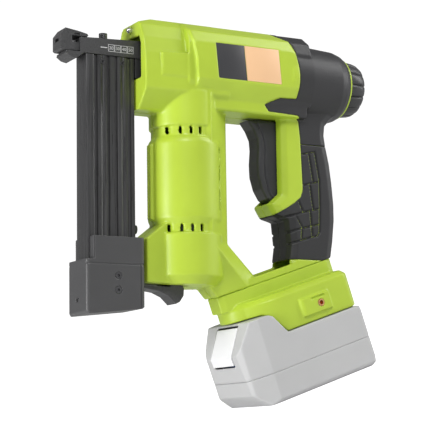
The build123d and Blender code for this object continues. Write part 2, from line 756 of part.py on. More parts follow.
def drive_frame():
    """Cast frame: bearing plate, front wall and lugs that hold the guide rod."""
    plate = wide(84, 134, 19, -47.5, -39.5)
    plate = plate - post(MOTOR_X, 0, -60, -30, 11.0 + 0.02)
    wall = wide(79, 84.5, 12, -47.5, -5)
    frame = plate + wall + wide(79, 90, 19, -47.5, -39.5)
    return frame - bar_x(70, 90, 0, KNOB_Z, ROD_R)


def guide_rod():
    """Hardened rod that guides the driver and the main spring."""
    return bar_x(79, 247, 0, KNOB_Z, ROD_R)


def bumper():
    """Rubber ring that stops the driver."""
    return bar_x(84.7, 97.6, 0, KNOB_Z, 9.0) - bar_x(80, 100, 0, KNOB_Z, ROD_R + 0.4)


def driver_carriage():
    """Carriage that runs on the guide rod."""
    block = box(98, 118, -12, 12, -24, -3) + box(98, 118, -5, 5, -3.5, 5)
    block = block + box(98, 118, -20.5, -11, -24, -18)
    block = block - bar_x(90, 130, 0, KNOB_Z, ROD_R + RUN)
    return block - wide(97, 110, BLADE_WIDTH / 2, -BLADE_THICK / 2, BLADE_THICK / 2)


def driver_blade():
    """Flat blade that drives the fastener."""
    return wide(8, 110, BLADE_WIDTH / 2, -BLADE_THICK / 2, BLADE_THICK / 2)


def lift_rack():
    """Rack under the carriage, driven by the lifter sector."""
    pitch_line = -RACK_MODULE * LIFTER_TEETH / 2
    face = rack_face(pitch_line, -20.5, 67, 118, MOTOR_X)
    rack = extrude(Plane.XY.offset(-37.5) * face, amount=8)
    return rack + box(99, 117, -20.5, -17, -29.6, -24)


def main_spring():
    """Main compression spring."""
    return coil_x(118.3, 231.7, 0, KNOB_Z, 8.8, 1.4, 12)


def preload_nut():
    """Nut that sets the spring's preload."""
    return bar_x(232, 239, 0, KNOB_Z, 13.0) - bar_x(230, 245, 0, KNOB_Z, SPINDLE_R + 2 * RUN)


def knob_spindle():
    """Threaded spindle between the knob and the nut."""
    spindle = bar_x(233.5, 268, 0, KNOB_Z, SPINDLE_R) + bar_x(249, 252.6, 0, KNOB_Z, 9.5)
    return spindle - bar_x(230, 249, 0, KNOB_Z, ROD_R + RUN)


def power_knob():
    """Ribbed power knob at the rear."""
    outline = [(258, 0), (258, 24), (265, 24), (272, 22.5), (275.4, 19), (275.4, 0)]
    knob = revolve(Plane.XY * make_face(Polyline(*outline, close=True)), axis=Axis.X)
    grooves = [Rot(25.7143 * k, 0, 0) * Pos(268, 25.2, 0) * Box(16, 3.6, 1.8) for k in range(14)]
    knob = knob - Compound(grooves)
    return Pos(0, 0, KNOB_Z) * knob - bar_x(250, 268, 0, KNOB_Z, SPINDLE_R)


def knob_ring():
    """Thin trim ring between the rear barrel and the knob."""
    outline = [(256, 10), (256, 26.6), (257.6, 26.2), (257.6, 10)]
    ring = revolve(Plane.XY * make_face(Polyline(*outline, close=True)), axis=Axis.X)
    return Pos(0, 0, KNOB_Z) * ring


# ---------------------------------------------------------------- foot and battery, in the standing frame

def foot_outline():
    """Plan of the foot: a round nose, flared flanks and a square rear."""
    nose = ThreePointArc((-39, 19), (-50, 0), (-39, -19))
    flank_right = ThreePointArc((-39, -19), (-27, -28.8), (-8, -FOOT_HALF))
    flank_left = ThreePointArc((-8, FOOT_HALF), (-27, 28.8), (-39, 19))
    rear = Polyline(
        (-8, -FOOT_HALF), (53, -FOOT_HALF), (59, -28), (59, 28), (53, FOOT_HALF), (-8, FOOT_HALF),
    )
    return [nose, flank_right, rear, flank_left]


def foot_shell():
    """Foot that joins the housing to the battery rails."""
    body = plank(foot_outline(), FOOT_SIDE, FOOT_SHOULDER)
    top = body.faces().sort_by(Axis.Z)[-1]
    body = chamfer(top.edges(), 4.0)
    neck_base = FOOT_SHOULDER - 3
    body = body + extrude(Plane.XY.offset(neck_base) * neck_face(), amount=FOOT_SPLIT - neck_base)
    notch = [
        (-70, 40), (-70, FOOT_FRONT), (-29, FOOT_FRONT), (-24, FOOT_FRONT - 2.5),
        (-14, FOOT_SIDE + 1), (-13, 40),
    ]
    body = body - slab(notch, 60)
    body = body - wide(-20, 53, 22, 40, 73) - wide(-40, 0, 22, 40, 66.5) - wide(-14, 50, 13, 70, 100)
    rails = box(-10, 50, 19, 22.5, 53, 57) + box(-10, 50, -22.5, -19, 53, 57)
    body = body + rails
    for side in (-1, 1):
        boss = hook_boss(side)
        body = body + boss
        y0, y1 = sorted((side * 28.3, side * 45))
        body = body - pin_y(*HOOK, y0, y1, INSERT_R)
    return body


def hook_boss(side):
    """Raised pad that takes a belt hook."""
    pad = slab([(4, 57.5), (32.4, 57), (32.4, 71.5), (4, 71.5)], PACK_HALF - 0.2)
    keep = box(0, 40, *sorted((side * 30, side * 40)), 50, 80)
    ramp = Pos(4, side * (PACK_HALF + 1.5), 64) * Rot(0, 0, side * 24) * Box(9, 5, 30)
    groove = box(14, 28, *sorted((side * 35, side * 40)), 68.6, 70.3)
    return (pad & keep) - ramp - groove


def hook_inserts():
    """Threaded brass inserts for the belt hook."""
    inserts = []
    for side in (-1, 1):
        y0, y1 = sorted((side * 28.5, side * (PACK_HALF - 0.1)))
        y2, y3 = sorted((side * 29.5, side * 45))
        insert = pin_y(*HOOK, y0, y1, INSERT_R)
        inserts.append(insert - pin_y(*HOOK, y2, y3, HOOK_R))
    return Compound(inserts)


def terminal_block():
    """Terminal block with three blades that enter the battery."""
    block = wide(36, 52.5, 16, 58, 73)
    for y in (-10, 0, 10):
        block = block + box(27, 36.5, y - 0.4, y + 0.4, 59, 64.5)
    return block


def circuit_board():
    """Control board inside the neck, with its larger components."""
    board = wide(-8, 42, 11, 77, 78.6)
    parts = box(0, 10, -8, -1, 78.5, 84) + box(14, 24, -6, 6, 78.5, 82) + post(32, 0, 78.5, 89, 4)
    return board + parts


PACK_SIDE = [(PACK_FRONT + 2, 12), (PACK_FRONT, 46), (-46.5, FOOT_FRONT - 0.8), (-29.4, FOOT_FRONT - 0.8),
             (-25.2, FOOT_FRONT - 3), (-15.6, PACK_TOP), (57, PACK_TOP), (PACK_REAR, 47), (PACK_REAR, 6),
             (54, 0), (-48, 0)]


def pack_plan(inset=0.0):
    """Plan of the battery, with bevelled front corners."""
    half = PACK_HALF - inset
    points = [(-64, 22 - inset), (-58, 30 - inset), (-40, half), (56, half), (60.5 - inset, half - 5)]
    return points + [(x, -y) for x, y in reversed(points)]


def pack_form(inset=0.0):
    """Outer form of the battery."""
    plan = extrude(Plane.XY * make_face(Polyline(*pack_plan(inset), close=True)), amount=90)
    return slab(PACK_SIDE, 60, inset=inset) & plan


PACK_SPLIT = 24.0


def battery_lower_case():
    """Lower half of the battery case."""
    shell = pack_form() & wide(-80, 80, 60, -1, PACK_SPLIT)
    edges = shell.edges().filter_by(Axis.X).group_by(Axis.Z)[0]
    shell = chamfer(edges, 3.0)
    return shell - (pack_form(2.2) & wide(-80, 80, 60, 2.2, PACK_SPLIT + 1))


def battery_upper_case():
    """Upper half of the battery case, with the rail block and the latch's front."""
    shell = pack_form() & wide(-80, 80, 60, PACK_SPLIT, 90)
    shell = shell - (pack_form(2.2) & wide(-80, 80, 60, PACK_SPLIT - 1, 90))
    tongue = wide(-12, 34, 18.5, PACK_TOP - 0.1, 57.6) + wide(-12, 34, 21.4, 57.5, 65.5)
    for y in (-10, 0, 10):
        tongue = tongue - box(24, 40, y - 0.9, y + 0.9, 57.8, 70)
    for side in (-1, 1):
        trim = box(-30, 60, *sorted((side * 18.5, side * 30)), PACK_TOP, 57.5)
        shell = shell - trim
    return (shell + tongue) - button_space(0.4)


def button_space(grown):
    """Recess of the latch button in the sloped front."""
    outline = [(-66, 37), (-66, 47), (-49.5, 69), (-44, 66), (-56, 44), (-56, 37)]
    return slab(outline, BUTTON_HALF + 0.4 + grown)


def battery_button():
    """Latch button of the battery, flush with the sloped front."""
    outline = [(-62.2, 38.5), (-62.6, 45.5), (-48.2, 66.4), (-45, 64.5), (-57.6, 45.5), (-57.6, 38.5)]
    return slab(outline, BUTTON_HALF)


def battery_cells():
    """Ten cells in two layers."""
    cells = []
    for x in CELL_COLUMNS:
        for layer in range(2):
            cells.append(pin_y(x, 12.4 + layer * 19.5, -32.5, 32.5, CELL_R))
    return Compound(cells)


def battery_contacts():
    """Bus strips that join the cells."""
    strips = []
    for side in (-1, 1):
        for x in CELL_COLUMNS:
            strips.append(box(x - 4, x + 4, *sorted((side * 32.6, side * 33.0)), 6, 38))
    return Compound(strips)


# ---------------------------------------------------------------- build

outer_form = housing_form()
core_form = housing_form(SKIN)
cavity = housing_form(WALL)
pads, ridge_rib = side_pads()

cutters = shell_cutters()
skin_upper = (outer_form & soft_zone(SEAM_Z + SEAM / 2, 60)) - core_form - cutters
skin_lower = (outer_form & soft_zone(-170, SEAM_Z - SEAM / 2)) - core_form - cutters
skin_all = (outer_form & soft_zone(-170, 60)) - core_form

shell = outer_form + pads + ridge_rib - cavity - vents() - label_recess()
shell = shell + ((bosses() + inner_ribs()) & outer_form) - skin_all - cutters - boss_bores()

for side, word in ((-1, "left"), (1, "right")):
    save(f"housing_{word}", solids_only(half_of(shell, side), 50))
    save(f"rear_cover_{word}", solids_only(half_of(skin_upper, side) - boss_bores(), 5))
    save(f"grip_sleeve_{word}", solids_only(half_of(skin_lower, side) - boss_bores(), 5))

save("side_labels", side_labels())
save("housing_screws", housing_screws())
save("led_lens", bar_x(60.4, 66, 0, 15, 2.5) + Pos(60.6, 0, 15) * Sphere(2.1))
save("knob_ring", knob_ring())
save("nose_bar", nose_bar())
save("contact_tip", contact_tip())
save("contact_springs", contact_springs())
save("nose_cap_screw", nose_cap_screw())
save("magazine_rail", magazine_rail())
save("magazine_bracket", magazine_bracket())
save("magazine_cover", magazine_cover())
save("rib_screws", rib_screws())
save("stop_stud", stop_stud())
save("end_block", end_block())
save("end_block_screws", end_block_screws())
save("pusher", pusher())
save("pusher_spring", coil_z(52, 0, -197.8, -42.3, 3.2, 0.45, 18))
save("latch_lever", latch_lever())
save("lever_pin", pin_y(*LEVER_PIVOT, -12.9, 12.9, PIVOT_R))
save("trigger", trigger())
save("trigger_pin", pin_y(*TRIGGER_PIVOT, -12.9, 12.9, PIVOT_R))
save("trigger_switch", trigger_switch())
save("switch_plunger", switch_plunger())
save("motor_can", motor_can())
save("motor_rotor", motor_rotor())
for index in range(PLANET_COUNT):
    save(f"planet_gear_{index + 1}", planet_gear(index))
save("planet_carrier", planet_carrier())
save("gearbox_case", gearbox_case())
save("lifter_gear", lifter_gear())
save("output_bearing", output_bearing())
save("drive_frame", drive_frame() & cavity)
save("guide_rod", guide_rod())
save("bumper", bumper())
save("driver_carriage", driver_carriage())
save("driver_blade", driver_blade())
save("lift_rack", lift_rack())
save("main_spring", main_spring())
save("preload_nut", preload_nut())
save("knob_spindle", knob_spindle())
save("power_knob", power_knob())
save("foot_shell", foot_shell(), standing=True)
save("hook_inserts", hook_inserts(), standing=True)
save("terminal_block", terminal_block(), standing=True)
save("circuit_board", circuit_board(), standing=True)
save("battery_lower_case", battery_lower_case(), standing=True)
save("battery_upper_case", battery_upper_case(), standing=True)
save("battery_button", battery_button(), standing=True)
save("battery_cells", battery_cells(), standing=True)
save("battery_contacts", battery_contacts(), standing=True)
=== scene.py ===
import math

import bmesh
import bpy
import numpy as np
from mathutils import Matrix, Vector


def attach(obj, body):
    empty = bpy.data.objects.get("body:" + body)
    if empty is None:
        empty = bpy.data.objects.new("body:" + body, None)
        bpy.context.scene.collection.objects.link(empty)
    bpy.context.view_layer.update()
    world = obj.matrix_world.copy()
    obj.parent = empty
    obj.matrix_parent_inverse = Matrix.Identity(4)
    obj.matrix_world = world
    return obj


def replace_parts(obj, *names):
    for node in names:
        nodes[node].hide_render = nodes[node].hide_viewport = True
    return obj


# Cordless brad nailer: the looks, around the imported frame. Metres, standing frame, +Z up.
# The tool's driving frame is tilted against the battery base. DRIVE turns a point of the driving
# frame (X rearward along the driver, Z up along the magazine, in millimetres) into the standing one.

MM = 0.001
TILT = math.radians(19)
DRIVE = (Matrix.Translation((-0.114, 0, 0.326)) @ Matrix.Rotation(TILT, 4, "Y")
         @ Matrix.Scale(MM, 4))
STAND = Matrix.Scale(MM, 4)

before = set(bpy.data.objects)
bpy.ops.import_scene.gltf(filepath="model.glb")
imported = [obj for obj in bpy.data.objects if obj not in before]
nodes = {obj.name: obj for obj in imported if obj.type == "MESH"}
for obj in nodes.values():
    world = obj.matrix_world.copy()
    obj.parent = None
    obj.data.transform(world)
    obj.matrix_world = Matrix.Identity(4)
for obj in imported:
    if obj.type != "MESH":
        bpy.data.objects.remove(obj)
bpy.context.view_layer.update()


# ---------------------------------------------------------------- material helpers

def new_material(name):
    """An empty node material with its Principled shader and a coordinate node."""
    mat = bpy.data.materials.new(name)
    mat.use_nodes = True
    tree = mat.node_tree
    shader = tree.nodes["Principled BSDF"]
    coords = tree.nodes.new("ShaderNodeTexCoord")
    return mat, tree, shader, coords


def noise(tree, coords, scale, detail=2.0, stretch=None):
    """Noise in object space; stretch scales the axes of the driving frame."""
    tex = tree.nodes.new("ShaderNodeTexNoise")
    tex.inputs["Scale"].default_value = scale
    tex.inputs["Detail"].default_value = detail
    mapping = tree.nodes.new("ShaderNodeMapping")
    mapping.vector_type = "TEXTURE"
    mapping.inputs["Rotation"].default_value = (0, TILT, 0)
    if stretch:
        mapping.inputs["Scale"].default_value = stretch
    tree.links.new(coords.outputs["Object"], mapping.inputs["Vector"])
    tree.links.new(mapping.outputs["Vector"], tex.inputs["Vector"])
    return tex.outputs["Fac"]


def spread(tree, value, low, high):
    """Maps a 0.3 to 0.7 noise value onto low to high."""
    ranged = tree.nodes.new("ShaderNodeMapRange")
    ranged.inputs["From Min"].default_value = 0.3
    ranged.inputs["From Max"].default_value = 0.7
    ranged.inputs["To Min"].default_value = low
    ranged.inputs["To Max"].default_value = high
    tree.links.new(value, ranged.inputs["Value"])
    return ranged.outputs["Result"]


def tinted(tree, value, dark, light):
    """A colour between dark and light, by value."""
    mix = tree.nodes.new("ShaderNodeMix")
    mix.data_type = "RGBA"
    mix.inputs["A"].default_value = (*dark, 1)
    mix.inputs["B"].default_value = (*light, 1)
    tree.links.new(value, mix.inputs["Factor"])
    return mix.outputs["Result"]


def bumped(tree, shader, height, distance, strength):
    """Turns a height value into a bumped normal on the shader."""
    bump = tree.nodes.new("ShaderNodeBump")
    bump.inputs["Distance"].default_value = distance
    bump.inputs["Strength"].default_value = strength
    tree.links.new(height, bump.inputs["Height"])
    tree.links.new(bump.outputs["Normal"], shader.inputs["Normal"])


def moulded(name, colour, rough, grain=2600, depth=0.00002, tint=0.06):
    """Moulded plastic or elastomer: a fine spark-eroded grain and a faint colour drift."""
    mat, tree, shader, coords = new_material(name)
    drift = noise(tree, coords, 30, 3)
    dark = tuple(c * (1 - tint) for c in colour)
    light = tuple(min(1, c * (1 + tint)) for c in colour)
    tree.links.new(tinted(tree, spread(tree, drift, 0, 1), dark, light), shader.inputs["Base Color"])
    fine = noise(tree, coords, grain, 2)
    tree.links.new(spread(tree, fine, rough - 0.05, rough + 0.05), shader.inputs["Roughness"])
    bumped(tree, shader, fine, depth, 0.6)
    return mat


def metal(name, colour, rough, metallic, streak=(1, 1, 1), scale=900, tint=0.15):
    """Machined or extruded metal, with marks drawn out along one axis of the driving frame."""
    mat, tree, shader, coords = new_material(name)
    marks = noise(tree, coords, scale, 3, streak)
    dark = tuple(c * (1 - tint) for c in colour)
    light = tuple(min(1, c * (1 + tint)) for c in colour)
    tree.links.new(tinted(tree, spread(tree, marks, 0, 1), dark, light), shader.inputs["Base Color"])
    tree.links.new(spread(tree, marks, rough - 0.08, rough + 0.08), shader.inputs["Roughness"])
    shader.inputs["Metallic"].default_value = metallic
    bumped(tree, shader, marks, 0.00002, 0.5)
    return mat


LIME = (0.455, 0.61, 0.046)
ALONG_Z = (1, 1, 40)
WELD_GAP = 0.00001
BEVEL_SEGMENTS = 2
BEVEL_ANGLE = 30

MATS = {
    "housing": moulded("housing_green", LIME, 0.36, tint=0.04),
    "overmould": moulded("overmould_black", (0.024, 0.024, 0.026), 0.46, grain=1900, depth=0.00004),
    "dark_plastic": moulded("plastic_black", (0.036, 0.036, 0.038), 0.40),
    "trigger": moulded("trigger_black", (0.040, 0.040, 0.044), 0.36),
    "extrusion": metal("anodised_extrusion", (0.085, 0.085, 0.087), 0.32, 0.60, ALONG_Z),
    "dark_metal": metal("blackened_steel", (0.080, 0.080, 0.082), 0.40, 0.40),
    "cast_metal": metal("cast_alloy", (0.42, 0.42, 0.43), 0.45, 0.9, scale=400),
    "steel": metal("bright_steel", (0.55, 0.55, 0.56), 0.25, 1.0),
    "end_block": moulded("end_block_grey", (0.064, 0.064, 0.066), 0.42),
    "screw": metal("zinc_screw", (0.42, 0.42, 0.43), 0.30, 1.0),
    "black_screw": metal("black_screw", (0.12, 0.12, 0.125), 0.30, 0.8),
    "spring_steel": metal("spring_steel", (0.35, 0.35, 0.36), 0.3, 1.0),
    "gear_steel": metal("gear_steel", (0.5, 0.49, 0.47), 0.3, 1.0),
    "motor": metal("motor_steel", (0.3, 0.3, 0.31), 0.35, 0.9, ALONG_Z),
    "brass": metal("brass", (0.80, 0.42, 0.20), 0.28, 1.0),
    "rubber": moulded("bumper_rubber", (0.03, 0.03, 0.03), 0.7),
    "board": moulded("circuit_board", (0.02, 0.12, 0.05), 0.3),
    "battery_case": moulded("battery_grey", (0.52, 0.52, 0.525), 0.48, tint=0.02),
    "battery_button": moulded("button_white", (0.86, 0.86, 0.88), 0.4, tint=0.01),
    "cell": moulded("cell_sleeve", (0.05, 0.12, 0.35), 0.35),
    "label_dark": moulded("label_dark", (0.042, 0.042, 0.046), 0.42),
    "label_light": moulded("label_peach", (0.90, 0.56, 0.31), 0.45, tint=0.02),
    "print": moulded("white_print", (0.62, 0.62, 0.63), 0.5, tint=0.02),
    "lens": metal("led_bezel", (0.74, 0.74, 0.75), 0.16, 0.85, tint=0.03),
    "knurled": metal("knurled_screw", (0.16, 0.16, 0.165), 0.26, 0.9),
}

NODE_MATERIAL = {
    "housing_left": "housing", "housing_right": "housing", "knob_ring": "housing", "foot_shell": "housing",
    "rear_cover_left": "overmould", "rear_cover_right": "overmould",
    "grip_sleeve_left": "overmould", "grip_sleeve_right": "overmould",
    "side_labels": "label_dark", "housing_screws": "screw", "led_lens": "lens",
    "nose_bar": "dark_metal", "contact_tip": "dark_metal", "contact_springs": "spring_steel",
    "nose_cap_screw": "knurled", "magazine_rail": "steel", "magazine_bracket": "dark_plastic",
    "magazine_cover": "extrusion", "rib_screws": "black_screw", "stop_stud": "dark_plastic",
    "end_block": "end_block", "end_block_screws": "black_screw", "pusher": "cast_metal",
    "pusher_spring": "spring_steel", "latch_lever": "dark_metal", "lever_pin": "steel",
    "trigger": "trigger", "trigger_pin": "steel", "trigger_switch": "dark_plastic",
    "switch_plunger": "dark_plastic", "motor_can": "motor", "motor_rotor": "motor",
    "planet_gear_1": "gear_steel", "planet_gear_2": "gear_steel", "planet_gear_3": "gear_steel",
    "planet_carrier": "gear_steel", "gearbox_case": "cast_metal", "lifter_gear": "gear_steel",
    "output_bearing": "steel", "drive_frame": "cast_metal", "guide_rod": "steel", "bumper": "rubber",
    "driver_carriage": "cast_metal", "driver_blade": "steel", "lift_rack": "gear_steel",
    "main_spring": "spring_steel", "preload_nut": "steel", "knob_spindle": "steel",
    "power_knob": "dark_plastic", "hook_inserts": "brass", "terminal_block": "dark_plastic",
    "circuit_board": "board", "battery_lower_case": "battery_case", "battery_upper_case": "battery_case",
    "battery_button": "battery_button", "battery_cells": "cell", "battery_contacts": "brass",
}


def paint(obj, name):
    """Gives a piece its one material."""
    obj.data.materials.clear()
    obj.data.materials.append(MATS[name])


def rounded(obj, voxel, passes):
    """Rounds every edge of a moulded part a little, by remeshing and smoothing."""
    remesh = obj.modifiers.new("remesh", "REMESH")
    remesh.mode = "VOXEL"
    remesh.voxel_size = voxel
    remesh.use_smooth_shade = True
    smooth = obj.modifiers.new("smooth", "SMOOTH")
    smooth.factor = 0.5
    smooth.iterations = passes


def eased(obj, width):
    """Breaks the sharp edges of a machined part."""
    weld = obj.modifiers.new("weld", "WELD")
    weld.merge_threshold = WELD_GAP
    bevel = obj.modifiers.new("bevel", "BEVEL")
    bevel.width = width
    bevel.segments = BEVEL_SEGMENTS
    bevel.limit_method = "ANGLE"
    bevel.angle_limit = math.radians(BEVEL_ANGLE)
    bevel.harden_normals = True


for node, obj in nodes.items():
    paint(obj, NODE_MATERIAL[node])

for node, voxel, passes in (
    ("housing_left", 0.0008, 5), ("housing_right", 0.0008, 5), ("foot_shell", 0.0008, 6),
    ("rear_cover_left", 0.0006, 6), ("rear_cover_right", 0.0006, 6),
    ("battery_upper_case", 0.0008, 5), ("battery_lower_case", 0.0008, 5), ("battery_button", 0.0005, 4),
):
    rounded(nodes[node], voxel, passes)

for node, width in (
    ("nose_bar", 0.0003), ("contact_tip", 0.0004), ("latch_lever", 0.0006),
    ("magazine_bracket", 0.0004), ("knob_ring", 0.0003), ("stop_stud", 0.0004),
):
    eased(nodes[node], width)


# ---------------------------------------------------------------- engraved pieces
# A copy of a CAD part is remeshed finely, and lines drawn on its sides (X, Z of the driving
# frame) are pressed into it.

def add_piece(name, mesh, material, body):
    """A painted piece that rides on a body."""
    obj = bpy.data.objects.new(name, mesh)
    bpy.context.scene.collection.objects.link(obj)
    paint(obj, material)
    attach(obj, body)
    return obj


def remeshed(node, voxel, passes):
    """The mesh of a CAD part after rounding."""
    obj = bpy.data.objects.new(node + "_source", nodes[node].data.copy())
    bpy.context.scene.collection.objects.link(obj)
    rounded(obj, voxel, passes)
    depsgraph = bpy.context.evaluated_depsgraph_get()
    mesh = bpy.data.meshes.new_from_object(obj.evaluated_get(depsgraph))
    bpy.data.objects.remove(obj)
    return mesh


def line_distance(points, lines):
    """Distance of each (x, z) point to the nearest of the lines."""
    best = np.full(len(points), 1e9)
    for line in lines:
        for start, end in zip(line, line[1:]):
            a, b = np.array(start, float), np.array(end, float)
            along = np.clip(((points - a) @ (b - a)) / ((b - a) @ (b - a)), 0, 1)
            best = np.minimum(best, np.linalg.norm(points - a - along[:, None] * (b - a), axis=1))
    return best


def engrave(mesh, lines, half_width, depth):
    """Presses lines into the outer sides of a mesh. Widths and depths are in millimetres."""
    count = len(mesh.vertices)
    co = np.empty(count * 3)
    normal = np.empty(count * 3)
    mesh.vertices.foreach_get("co", co)
    mesh.vertex_normals.foreach_get("vector", normal)
    co, normal = co.reshape(-1, 3), normal.reshape(-1, 3)
    inverse = np.array(DRIVE.inverted())
    local = co @ inverse[:3, :3].T + inverse[:3, 3]
    outward = np.clip(normal[:, 1] * np.sign(co[:, 1]) * 3 - 0.4, 0, 1)
    near = np.clip(1 - line_distance(local[:, [0, 2]], lines) / half_width, 0, 1)
    press = depth * MM * outward * near * near * (3 - 2 * near)
    mesh.vertices.foreach_set("co", (co - normal * press[:, None]).ravel())
    mesh.update()


GRIP_LINES = (
    ((211, -78.0), (224, -75.0), (228, -99), (228, -121.5), (227, -143), (225, -146)),
    ((218.3, -77.5), (222, -100.8)),
    ((212, -104), (228, -100)),
    ((218.5, -103), (221.5, -124)),
    ((207.5, -118), (211.5, -126.5)),
    ((184, -135), (211.4, -126.7), (228, -123)),
    ((218.4, -125.5), (220, -147)),
    ((204.4, -129.5), (210.6, -140)),
    ((186, -147), (211, -140), (227, -136.2)),
    ((210, -140.5), (209.4, -149)),
    ((188, -156.5), (220, -147), (225, -146)),
    ((184.3, -133), (188.2, -157)),
)
TRIGGER_LINES = (
    (
        (173, -51.5), (177, -59), (180, -67), (180.6, -76), (179.8, -87), (180.4, -98), (183.2, -108),
        (188, -116),
    ),
)
BLOCK_LINES = (((14, -177), (65, -177)), ((61, -177), (61, -212)), ((21.6, -173), (21.6, -155)))

for side_word in ("left", "right"):
    node = "grip_sleeve_" + side_word
    sleeve = remeshed(node, 0.00055, 5)
    engrave(sleeve, GRIP_LINES, 1.35, 1.7)
    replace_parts(add_piece(node + "_ribbed", sleeve, "overmould", "tool"), node)

lever = remeshed("trigger", 0.0005, 5)
engrave(lever, TRIGGER_LINES, 1.2, 1.3)
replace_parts(add_piece("trigger_shaped", lever, "trigger", "trigger"), "trigger")

block = remeshed("end_block", 0.0005, 4)
engrave(block, BLOCK_LINES, 0.8, 0.9)
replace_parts(add_piece("end_block_shaped", block, "end_block", "magazine"), "end_block")


# ---------------------------------------------------------------- pieces built here

def prism(outline, low, high, to_world, bevel=0.0):
    """A closed outline (X, Z), extruded along Y from low to high, with its edges eased."""
    form = bmesh.new()
    near = [form.verts.new((x, low, z)) for x, z in outline]
    far = [form.verts.new((x, high, z)) for x, z in outline]
    form.faces.new(near)
    form.faces.new(far[::-1])
    for k in range(len(outline)):
        nxt = (k + 1) % len(outline)
        form.faces.new((near[nxt], near[k], far[k], far[nxt]))
    bmesh.ops.recalc_face_normals(form, faces=form.faces)
    if bevel:
        bmesh.ops.bevel(
            form, geom=form.edges[:], offset=bevel, segments=BEVEL_SEGMENTS, affect="EDGES", profile=0.5)
    return finished(form, to_world)


def finished(form, to_world, smooth=40):
    """Turns a bmesh into a mesh in the standing frame."""
    bmesh.ops.transform(form, matrix=to_world, verts=form.verts)
    bmesh.ops.recalc_face_normals(form, faces=form.faces)
    mesh = bpy.data.meshes.new("piece")
    form.to_mesh(mesh)
    form.free()
    mesh.shade_smooth()
    mesh.set_sharp_from_angle(angle=math.radians(smooth))
    return mesh


def joined(name, parts):
    """One mesh made of several."""
    form = bmesh.new()
    for part in parts:
        form.from_mesh(part)
    mesh = bpy.data.meshes.new(name)
    form.to_mesh(mesh)
    form.free()
    return mesh


# side labels: a dark front part and a light rear part, each a thin plate

LABEL_TOP, LABEL_LOW = 4.6, -24.2
LABEL_SLANT = 2.5
LABEL_FACE = 31.95
LABEL_THICK = 0.7
LABEL_PARTS = (("front", 123.2, 149.1, "label_dark"), ("rear", 149.5, 181.8, "label_light"))
for sign, word in ((-1, "left"), (1, "right")):
    for part, x0, x1, paint_name in LABEL_PARTS:
        outline = [
            (x0, LABEL_TOP), (x1, LABEL_TOP), (x1 + LABEL_SLANT, LABEL_LOW), (x0 + LABEL_SLANT, LABEL_LOW),
        ]
        low, high = sorted((sign * (LABEL_FACE - LABEL_THICK), sign * LABEL_FACE))
        plate = prism(outline, low, high, DRIVE, bevel=0.25)
        piece = add_piece(f"label_{part}_{word}", plate, paint_name, "tool")
        if (sign, part) == (-1, "front"):
            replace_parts(piece, "side_labels")

# power knob: wide ribs parted by narrow grooves, and a rounded end

KNOB_Z = -15.0
KNOB_RIBS = 14
KNOB_PROFILE = (
    (258.0, 23.2), (258.4, 23.8), (260, 24.0), (264, 23.9), (268, 23.4), (271, 22.6), (273.2, 21.2),
    (274.6, 19.4), (275.2, 17.2), (275.4, 14.0), (275.2, 8.0), (275.1, 3.0),
)
KNOB_STEPS = KNOB_RIBS * 14
GROOVE_DEPTH = 1.3
RIB_CROWN = 0.35


def knob_mesh():
    """Rings of the profile, pressed in at the grooves and closed at both ends."""
    form = bmesh.new()
    rings = []
    for x, radius in KNOB_PROFILE:
        open_end = min(1, max(0, (radius - 17) / 3)) * min(1, (x - 257.6) / 2)
        ring = []
        for k in range(KNOB_STEPS):
            angle = 2 * math.pi * k / KNOB_STEPS
            phase = abs((k * KNOB_RIBS / KNOB_STEPS) % 1 - 0.5) * 2
            groove = min(1, max(0, (phase - 0.80) / 0.14))
            crown = RIB_CROWN * phase * phase
            r = radius - (GROOVE_DEPTH * groove + crown) * open_end
            ring.append(form.verts.new((x, r * math.cos(angle), KNOB_Z + r * math.sin(angle))))
        rings.append(ring)
    for near, far in zip(rings, rings[1:]):
        for k in range(KNOB_STEPS):
            nxt = (k + 1) % KNOB_STEPS
            form.faces.new((near[k], near[nxt], far[nxt], far[k]))
    form.faces.new(rings[0])
    form.faces.new(rings[-1][::-1])
    return finished(form, DRIVE, smooth=50)


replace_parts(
    add_piece("power_knob_ribbed", knob_mesh(), "dark_plastic", "power_knob"), "power_knob")

# magazine extrusion: two round ribs with shallow channels between them, open at the top and inside

RAIL_SIDE = (
    (18.3, 8.4), (18.6, 9.3), (19.6, 9.8), (24.6, 9.8), (25.4, 9.5), (26.0, 8.0), (28.2, 8.0), (28.5, 9.0),
    (29.2, 9.6), (30.4, 9.8), (31.8, 9.7), (32.6, 9.2), (33.2, 9.2), (34.0, 9.6), (36.2, 9.5), (36.9, 9.0),
    (37.3, 8.0), (38.6, 8.0), (39.0, 9.0), (43.6, 9.0), (44.0, 8.0), (45.6, 8.0), (45.9, 9.0), (46.6, 9.6),
    (47.8, 9.8), (49.2, 9.7), (50.0, 9.2), (50.6, 9.2), (51.4, 9.6), (53.6, 9.5), (54.3, 9.0), (54.7, 8.0),
    (57.0, 8.0), (57.6, 8.9), (60.4, 9.0), (60.8, 8.6),
)
RAIL_TOP, RAIL_FOOT = -10.5, -198.0
RAIL_HOLLOW = (21.3, 58.0, 4.6)


